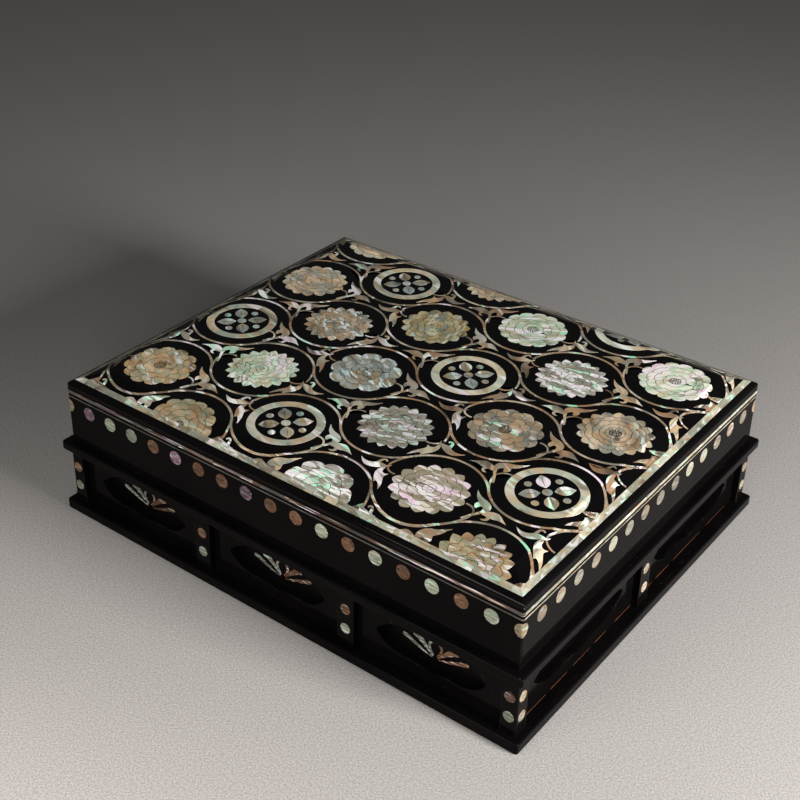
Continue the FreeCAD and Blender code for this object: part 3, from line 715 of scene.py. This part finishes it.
HANGING_HUG = [(27.7, 1.0), (28.6, 0.6), (29.4, -0.7), (29.9, -3.0), (29.5, -5.7), (28.1, -8.4),
               (26.6, -10.4), (25.2, -12.6), (25.2, -12.6), (24.6, -10.9), (22.2, -12.6),
               (19.6, -16.3), (19.6, -16.3), (20.6, -12.0), (22.4, -8.8), (24.2, -5.8),
               (23.2, -3.0), (23.2, -3.0), (24.9, -4.1), (27.0, -3.2), (27.4, -1.2)]
LEAF_TOP = 0.12  # the parts of a scroll overlap, each a little proud of the last
LEAF_LOOKS = (0, 0, 1, 2)  # what the look of a part is drawn from


def add_scrolls(bm):
    """The scrolls, each part cut at random from one of three looks of shell."""
    rng = random.Random(67)
    rising = [(smooth(RISING_LEAF), LEAF_TOP - 0.01), (smooth(RISING_HUG), LEAF_TOP),
              (stroke(*RISING_STEM), LEAF_TOP - 0.02)]
    hanging = [(smooth(HANGING_LEAF), LEAF_TOP), (smooth(HANGING_HUG), LEAF_TOP - 0.01),
               (stroke(*HANGING_CURL), LEAF_TOP - 0.02)]
    for x, y, row, _ in medallions():
        if not in_field(x, y, VINE_R):
            continue
        for side in (1, -1):
            from_below = (side > 0) == (row % 2 == 0)
            for shape, top in rising if from_below else hanging:
                plate(bm, moved(shape, x, y, 0, side < 0), top, rng.choice(LEAF_LOOKS))


def lid_field_pieces():
    """The vines, tendrils and scrolls between the medallions."""
    vines = [nacre("shell_vine", "vine", "mint", 20, 0.4, 0.3, 2.0)]
    leaves = [nacre("shell_leaf", "vine", "cream", 35, 0.5, 0.5, 2.4, 1.05),
              nacre("shell_leaf_pale", "silver", "mint", 20, 0.75, 0.4, 1.8, 1.2),
              nacre("shell_leaf_tan", "tan", "tan", 50, 0.35, 0.4, 1.8, 1.05)]
    for name, materials, draw, stands_for in (
            ("vine_bands", vines, add_vines, ["lid_vines_and_tendrils"]),
            ("vine_tendrils", vines, add_tendrils, []),
            ("leaf_scrolls", leaves, add_scrolls, ["lid_leaf_scrolls"])):
        bm = bmesh.new()
        draw(bm)
        lay_on_lid(bm)
        piece(bm, name, materials, LID, *stands_for)


COLUMN_NAMES = "abcdefgh"  # from column -3 on

# Flowers by row and column: style, tint, tint of the painted highlights, direction, cover of the
# painted highlights, share by petal, size, tone. Tone is partly the shell's own brightness and partly
# painted light: higher on the far rows, lower on the near ones.
GARDEN = {
    (0, -2): ("round", "tan", "tan", 10, 0.2, 0.12, 1.2, 2.2),
    (0, 0): ("dahlia", "tan", "tan", 0, 0.25, 0.12, 1.1, 1.65),
    (1, 1): ("round", "mint", "mint", -35, 0.65, 0.1, 1.2, 1.25),
    (1, 3): ("round", "mint", "pink", -50, 0.95, 0.1, 1.3, 1.45),
    (2, -2): ("scales", "tan", "cream", 0, 0.25, 0.12, 1.1, 1.5),
    (2, 0): ("scales", "gold", "gold", 80, 0.3, 0.15, 1.1, 1.05),
    (2, 2): ("dahlia", "silver", "mint", 0, 0.85, 0.1, 1.2, 1.05),
    (3, -1): ("dahlia", "tan", "blue", 30, 0.4, 0.25, 1.0, 1.12),
    (3, 3): ("rose", "tan", "tan", 50, 0.3, 0.12, 1.4, 1.05),
    (4, 0): ("peony", "blue", "blue", 30, 0.4, 0.2, 0.9, 1.0),
    (4, 2): ("double", "tan", "mint", 0, 0.3, 0.15, 1.4, 0.84),
    (5, -1): ("dahlia", "mint", "cream", 65, 0.8, 0.12, 1.0, 1.35),
    (5, 1): ("dahlia", "silver", "silver", -25, 0.5, 0.12, 1.0, 0.9),
    (6, -2): ("double", "peach", "blue", 25, 0.25, 0.15, 1.3, 1.08),
    (6, 2): ("scales", "pink", "pink", 0, 0.85, 0.1, 1.0, 0.9),
    (7, -1): ("round", "peach", "gold", 5, 0.3, 0.15, 1.4, 0.72),
    (7, 1): ("peony", "silver", "mint", -4, 0.85, 0.1, 0.9, 0.9),
    (7, 3): ("dahlia", "peach", "pink", -20, 0.45, 0.12, 1.3, 0.65),
}


def lid_medallions():
    """Every flower and ring, one piece each, named by row and column."""
    # Two copies of one cream shell: painted lighter for the far rings and darker for the near ones.
    ring_shells = [nacre("shell_ring_far_painted_light", "cream", "cream", 15, 0.35, 0.3, 2.0, 1.12),
                   nacre("shell_ring_near_painted_shade", "cream", "cream", 15, 0.35, 0.3, 2.0, 0.88)]
    rosette_shell = nacre("shell_rosette", "blue", "mint", 40, 0.4, 0.5, 2.2, 1.15)
    for x, y, row, column in medallions():
        if not in_field(x, y, FLOWER_R):
            continue
        label = "%d_%s" % (row + 1, COLUMN_NAMES[column + 3])
        if (row, column) in RING_PLACES:
            ring_medallion(x, y, "ring_medallion_" + label, ring_shells[y < 0], rosette_shell)
        else:
            style, *look = GARDEN[(row, column)]
            shell = nacre("shell_flower_" + label, *look)
            flower(x, y, "flower_medallion_" + label, style, shell, 11 + 8 * row + column)


# ---- strips, lines and dots ----
def lengths(total, shortest, longest, rng):
    """Random lengths of shell that fill a strip: the places of their joints."""
    places = [0.0]
    while places[-1] < total - longest:
        places.append(places[-1] + rng.uniform(shortest, longest))
    return places + [total]


BORDER_TOP = 0.14  # how proud the border is
BORDER_LENGTHS = (7, 16)  # shortest and longest piece of shell
BORDER_GAP = 0.05  # half the gap at a joint


def lid_border():
    """Mitred strips on the sloping margins, laid from short lengths of shell."""
    rng = random.Random(31)
    # Two copies of one shell: painted shade for the front and left strips, painted light for the right and
    # back.
    in_painted_shade = nacre("shell_border_painted_shade", "cream", "mint", 35, 0.5, 1.0, 1.4, 0.56)
    pale = nacre("shell_border_painted_light", "cream", "mint", 35, 0.5, 0.7, 1.4, 0.6)
    for side in SIDES:
        bm = bmesh.new()
        along, deep = halves(side)
        start, total = -along + BORDER_OUT, 2 * (along - BORDER_OUT)
        shift = BORDER_IN - BORDER_OUT
        joints = lengths(total, *BORDER_LENGTHS, rng)
        for k, (a, b) in enumerate(zip(joints, joints[1:])):
            a_in = shift if k == 0 else a + BORDER_GAP
            b_in = total - shift if k == len(joints) - 2 else b - BORDER_GAP
            corners = [(start + a + BORDER_GAP, -deep + BORDER_OUT),
                       (start + b - BORDER_GAP, -deep + BORDER_OUT),
                       (start + b_in, -deep + BORDER_IN), (start + a_in, -deep + BORDER_IN)]
            plate(bm, corners, BORDER_TOP)
        turn = Matrix.Rotation(math.radians(HEADING[side]), 3, "Z")
        bmesh.ops.rotate(bm, verts=bm.verts, cent=(0, 0, 0), matrix=turn)
        for v in bm.verts:
            v.co.z += LID_TOP - lid_drop(v.co.x, v.co.y)
        look = in_painted_shade if side in ("front", "left") else pale
        piece(bm, "border_strip_" + side, [look], LID, "lid_border_strip_" + side)


def side_at(s):
    """The side of the box at distance s along the outline."""
    s %= AROUND
    for length, _, side in PERIMETER:
        if s <= length:
            return side
        s -= length
    return "front"


BAND_GAP = 0.04  # half the gap at a joint
EDGE_STRIP_TOP, RIM_LINE_TOP = 0.12, 0.1  # how proud the bands are


def wall_band(name, materials, box, out, body, seed, spans, stands_for):
    """A thin band of shell round all four upright faces, as high as the box it is given and laid
    from lengths between the two spans. It takes its first material, painted in shade, on the front
    and left, and its second, painted in light, on the right and back."""
    rng = random.Random(seed)
    foot, top = box[0].z, box[1].z
    bm = bmesh.new()
    joints = [0.0]
    for length, kind, _ in PERIMETER:
        if kind == "straight":
            start = joints[-1]
            run = length + math.pi / 2 * CORNER_R
            joints += [start + d for d in lengths(run, *spans, rng)[1:]]
    for a, b in zip(joints, joints[1:]):
        lit = side_at((a + b) / 2) in ("right", "back")
        near, far = a + BAND_GAP, b - BAND_GAP
        plate(bm, [(near, foot), (far, foot), (far, top), (near, top)], out, int(lit))
    wrap_on_walls(bm)
    piece(bm, name, materials, body, *stands_for)


def wall_strips():
    """The shell strip along the foot of the lid and the fine line under the box's rim."""
    # Each band in two copies: darker, as painted shade, for the front and left, lighter, as painted light,
    # for the right and back.
    edges = [nacre("shell_edge_strip_painted_shade", "smoke", "pink", 0, 0.45, 1.0, 1.4, 0.72),
             nacre("shell_edge_strip_painted_light", "cream", "cream", 0, 0.4, 0.6, 1.2, 0.58)]
    wall_band("lid_edge_strip", edges, extent("lid_edge_strip_front"), EDGE_STRIP_TOP, LID,
              41, (12, 34), ["lid_edge_strip_" + s for s in SIDES])
    rims = [nacre("shell_rim_line_painted_shade", "silver", "silver", 0, 0.3, 0.6, 1.2, 0.18),
            nacre("shell_rim_line_painted_light", "tan", "tan", 0, 0.4, 0.6, 1.2, 0.65)]
    wall_band("rim_line", rims, extent("body_rim_lines"), RIM_LINE_TOP, BODY,
              43, (16, 40), ["body_rim_lines"])


DOT_TOP = 0.1  # how proud the dots are
DOT_EASE = 0.05  # how much smaller they are than their seats
DOT_STEPS = {"front": 18, "right": 15, "back": 18, "left": 15}


def wall_dots():
    """The row of round dots; those at the corners wrap round them."""
    low, high = extent("body_dots_front")
    radius, z = (high.z - low.z) / 2 - DOT_EASE, (high.z + low.z) / 2
    # Front and left dots: their own brown, rose and mint, darkened as painted shade. Right and back dots:
    # cream and tan, painted lighter as light falls.
    in_painted_shade = [nacre("shell_dot_brown_painted_shade", "brown", "brown", 65, 0.3, 1.0, 0.9, 0.5, 0.12),
           nacre("shell_dot_rose_painted_shade", "rose", "rose", 65, 0.5, 1.0, 0.9, 0.6, 0.12),
           nacre("shell_dot_mint_painted_shade", "mint", "mint", 65, 0.4, 1.0, 1.6, 0.5, 0.12)]
    pale = [nacre("shell_dot_cream_painted_light", "cream", "cream", 65, 0.35, 1.0, 1.2, 0.42),
            nacre("shell_dot_tan_painted_light", "tan", "cream", 65, 0.35, 1.0, 1.2, 0.5)]
    corner_look = nacre("shell_dot_corner", "peach", "cream", 65, 0.35, 0.5, 1.0, 0.5, 0.2)
    rng = random.Random(71)
    for side in SIDES:
        bm = bmesh.new()
        half = halves(side)[0]
        count = DOT_STEPS[side]
        start = run_start(side) - CORNER_R
        looks = in_painted_shade if side in ("front", "left") else pale
        for k in range(1, count):
            plate(bm, disc(start + 2 * half * k / count, z, radius), DOT_TOP, rng.randrange(len(looks)))
        corner = start + 2 * half - CORNER_R + math.pi / 4 * CORNER_R
        plate(bm, disc(corner, z, radius, 48), DOT_TOP, len(looks))
        wrap_on_walls(bm)
        piece(bm, "wall_dots_" + side, looks + [corner_look], BODY, "body_dots_" + side)


POST_DOT_R = 3.0
BACKBOARD_INSET = 7.8  # from the body's face to the face of the backboards
PALMETTE_FOOT = 18.8  # height of the foot of the palmettes
# Half of a palmette: petals as a middle line and its widths, from the palmette's foot.
PALMETTE = [
    ([(1.8, 0.2), (6.5, 1.4), (11.5, 3.4), (16.0, 5.2), (19.6, 6.2)], [0.2, 0.8, 1.6, 2.2, 2.4, 1.4]),
    ([(1.4, 1.0), (4.4, 4.0), (7.4, 7.0), (10.2, 8.8), (13.4, 8.8)], [0.2, 1.1, 2.4, 3.2, 2.4, 0.6]),
    ([(0.9, 1.8), (2.8, 4.2), (3.8, 6.8), (3.2, 9.0), (1.6, 9.8)], [0.3, 0.9, 1.5, 1.4, 0.5]),
]


def placed_plate(bm, outline, top, material, matrix):
    """A flat piece that is placed by a matrix."""
    bmesh.ops.transform(bm, matrix=matrix, verts=plate(bm, outline, top, material))


def stand_shell():
    """Dots on the posts and palmettes on the backboards."""
    dot_shells = [nacre("shell_post_dot_brown", "brown", "rose", 25, 0.3, 0.8, 1.0, 0.6, 0.12),
                  nacre("shell_post_dot_mint", "mint", "mint", 25, 0.6, 0.8, 1.0, 0.45, 0.12),
                  nacre("shell_post_dot_peach", "peach", "cream", 25, 0.4, 0.8, 1.0, 0.5)]
    petal_shells = [nacre("shell_petal_pale", "silver", "mint", 60, 0.7, 0.8, 1.4, 0.42, 0.12),
                    nacre("shell_petal_brown", "brown", "cream", 60, 0.3, 1.0, 1.4, 0.5, 0.12)]
    low, high = extent("post_dots")
    heights = (low.z + POST_DOT_R, high.z - POST_DOT_R)
    corner_post = extent("corner_post_front_left")
    post = corner_post[1].x - corner_post[0].x
    proud = -corner_post[0].x - HALF_X
    dots, fans = bmesh.new(), bmesh.new()
    for side in SIDES:
        panels = 3 if side in ("front", "back") else 2
        half = halves(side)[0]
        corner = half + proud - post / 2
        first = extent("stand_panel_%s_1" % side)
        size = first[1] - first[0]
        width = max(size.x, size.y)
        pitch = (2 * (half + proud - post) - width) / (panels - 1)
        centres = [(k - (panels - 1) / 2) * pitch for k in range(panels)]
        between = [c + pitch / 2 for c in centres[:-1]]
        face = stand_face(side, -proud)
        for u in [-corner] + between + [corner]:
            for k, z in enumerate(heights):
                look = 1 - k if side in ("front", "left") else 2
                placed_plate(dots, disc(u, z, POST_DOT_R), VINE_TOP, look, face)
        back = stand_face(side, BACKBOARD_INSET)
        for u in centres:
            for path, widths in PALMETTE:
                for on_left in (False, True):
                    leaf = moved(stroke(path, widths), u, PALMETTE_FOOT, 0, on_left)
                    placed_plate(fans, leaf, VINE_TOP, 0 if on_left else 1, back)
    piece(dots, "stand_post_dots", dot_shells, BODY, "post_dots")
    piece(fans, "stand_palmette_fans", petal_shells, BODY, "stand_palmettes")


WORN_TOP = 0.04  # how proud a worn seam and a pale corner line are
SEAM_START, SEAM_LENGTHS, SEAM_GAPS, SEAM_HEIGHTS = (0, 4), (8, 34), (1, 9), (0.15, 0.45)
SEAM_LEAST = 6  # room a further length of seam needs


def worn_seams():
    """Broken brown lines where the lacquer has worn through along the foot of the panels."""
    rng = random.Random(61)
    worn = lacquer("worn_seam", rgb(112, 62, 38), 0.45, 0.6, rgb(150, 96, 60), 0.0, 0.2)
    bm = bmesh.new()
    for side in ("right", "back"):
        for k in range(2 if side == "right" else 3):
            low, high = extent("stand_panel_%s_%d" % (side, k + 1))
            near, far = (low.y, high.y) if side == "right" else (-high.x, -low.x)
            out = high.x - HALF_X if side == "right" else high.y - HALF_Y
            face = stand_face(side, -out)
            u = near + rng.uniform(*SEAM_START)
            while u < far - SEAM_LEAST:
                end = min(u + rng.uniform(*SEAM_LENGTHS), far)
                tall = rng.uniform(*SEAM_HEIGHTS)
                outline = [(u, low.z), (end, low.z), (end - 1, low.z + tall * 0.5), (u + 2, low.z + tall)]
                placed_plate(bm, outline, WORN_TOP, 0, face)
                u = end + rng.uniform(*SEAM_GAPS)
    piece(bm, "worn_seams", [worn], BODY)


MITRE_TALL = 1.2  # height of the pale line
MITRE_HALF = (0.09, 0.07)  # half its width at the foot and at the top
MITRE_SUNK = -0.3  # its lower side, inside the board


def pale_corner_lines():
    """Fine pale lines at the lid's upright corners, at the foot of the top board."""
    # A pale brownish line, drawn at each upright corner of the lid.
    worn = lacquer("pale_corner_line", rgb(120, 100, 84), 0.4, 0.2, rgb(150, 120, 96), 0.0, 0.2)
    bm = bmesh.new()
    foot = extent("lid_top_board")[0].z
    top = foot + MITRE_TALL
    wide, narrow = MITRE_HALF
    before = 0.0
    for length, kind, _ in PERIMETER:
        if kind == "corner":
            middle = before + length / 2
            outline = [(middle - wide, foot), (middle + wide, foot),
                       (middle + narrow, top), (middle - narrow, top)]
            plate(bm, outline, WORN_TOP, 0, MITRE_SUNK)
        before += length
    wrap_on_walls(bm)
    piece(bm, "pale_corner_lines", [worn], LID)


# ---- boards ----
def finish_boards():
    """Gives every CAD board its lacquer, by how its name starts; the first match counts."""
    lid = lacquer("lid_lacquer", rough=0.06, wear=0.25, dust=0.1)
    walls = lacquer("body_lacquer", rough=0.07, wear=0.35, shine=0.03)
    panels = lacquer("panel_lacquer", BLACK, 0.1, 0.3, rgb(70, 62, 56), dust=0.3, shine=0.035)
    stand = lacquer("stand_lacquer", rough=0.1, wear=1.0, dust=0.45, shine=0.04)
    recess = lacquer("recess_lacquer", rgb(6, 5, 5), 0.25, 0.0, dust=0.1, shine=0.03)
    inner = lacquer("inner_lacquer", rgb(26, 15, 11), 0.2, 0.3)
    by_start = (("lid_top_board", lid), ("lid_side", walls), ("body_wall", walls),
                ("body_floor", inner), ("locating_lip", inner), ("stand_backboard", recess),
                ("stand_panel", panels), ("stand_", stand), ("plinth", stand),
                ("middle_post", stand), ("corner_post", stand))
    for name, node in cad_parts.items():
        for start, material in by_start:
            if name.startswith(start):
                node.data.materials.clear()
                node.data.materials.append(material)
                break


# ---- floor, light and camera ----
AZIMUTH = 36.65  # the view's, which the floor is square to
SWEEP_START, SWEEP_RISE = 2.6, 0.35  # where the paper starts to rise, in metres, and how fast


def floor():
    """A paper sweep: flat round the box and rising gently far behind it."""
    bm = bmesh.new()
    near, far, wide, steps = -2.2, 5.0, 5.0, 60
    rows = []
    for k in range(steps + 1):
        y = near + (far - near) * k / steps
        z = max(0.0, y - SWEEP_START) ** 2 * SWEEP_RISE
        rows.append([bm.verts.new((x, y, z)) for x in (-wide, wide)])
    for low, high in zip(rows, rows[1:]):
        bm.faces.new((low[0], low[1], high[1], high[0])).smooth = True
    mesh = bpy.data.meshes.new("floor")
    bm.to_mesh(mesh)
    bm.free()
    mesh.materials.append(paper_floor("studio_paper"))
    obj = bpy.data.objects.new("floor", mesh)
    obj.rotation_euler.z = math.radians(AZIMUTH)
    bpy.context.scene.collection.objects.link(obj)


def soft_light(name, place, target, size, power, colour):
    """A square lamp aimed at a target; places and size in metres, power in watts."""
    data = bpy.data.lights.new(name, "AREA")
    data.size = size
    data.energy = power
    data.color = colour
    obj = bpy.data.objects.new(name, data)
    obj.location = place
    aim = Vector(target) - Vector(place)
    obj.rotation_euler = aim.to_track_quat("-Z", "Y").to_euler()
    bpy.context.scene.collection.objects.link(obj)


def lights():
    soft_light("key", (0.88, -0.03, 0.36), (0.0, 0.0, 0.0), 0.25, 16.4, (1.0, 0.98, 0.96))
    soft_light("front", (0.30, -0.70, 0.35), (0.0, 0.0, 0.0), 0.3, 2.2, (1.0, 0.97, 0.94))
    soft_light("near", (0.0, -0.50, 0.24), (0.0, -0.47, 0.0), 0.25, 1.5, (1.0, 0.96, 0.91))
    world = bpy.data.worlds.new("studio")
    world.use_nodes = True
    background = world.node_tree.nodes["Background"]
    background.inputs["Color"].default_value = (0.95, 0.98, 1.0, 1)
    background.inputs["Strength"].default_value = 0.085
    bpy.context.scene.world = world


CAMERA = {"azimuth": AZIMUTH, "elevation": 29.24, "roll": 1.246, "distance": 0.7963,
          "side": -0.0093, "rise": 0.0686, "aim_height": 0.039, "focal": 62.66, "shift": -0.0879}


def camera():
    """A camera a little above the box's corner: azimuth 0 looks along +Y; lengths in metres."""
    a, e = math.radians(CAMERA["azimuth"]), math.radians(CAMERA["elevation"])
    back = Vector((math.sin(a) * math.cos(e), -math.cos(a) * math.cos(e), math.sin(e)))
    right = (-back).cross(Vector((0, 0, 1))).normalized()
    up = right.cross(-back)
    target = Vector((0, 0, CAMERA["aim_height"])) + CAMERA["side"] * right + CAMERA["rise"] * up
    r = math.radians(CAMERA["roll"])
    across = math.cos(r) * right + math.sin(r) * up
    upward = -math.sin(r) * right + math.cos(r) * up
    data = bpy.data.cameras.new("camera")
    data.sensor_width = 36
    data.lens = CAMERA["focal"]
    data.shift_y = CAMERA["shift"]
    data.clip_start, data.clip_end = 0.01, 50
    obj = bpy.data.objects.new("camera", data)
    rotation = Matrix((across, upward, back)).transposed().to_4x4()
    obj.matrix_world = Matrix.Translation(target + back * CAMERA["distance"]) @ rotation
    bpy.context.scene.collection.objects.link(obj)
    bpy.context.scene.camera = obj


finish_boards()
lid_medallions()
lid_field_pieces()
lid_border()
wall_strips()
wall_dots()
stand_shell()
worn_seams()
pale_corner_lines()
floor()
lights()
camera()
bpy.context.scene.view_settings.view_transform = "Standard"
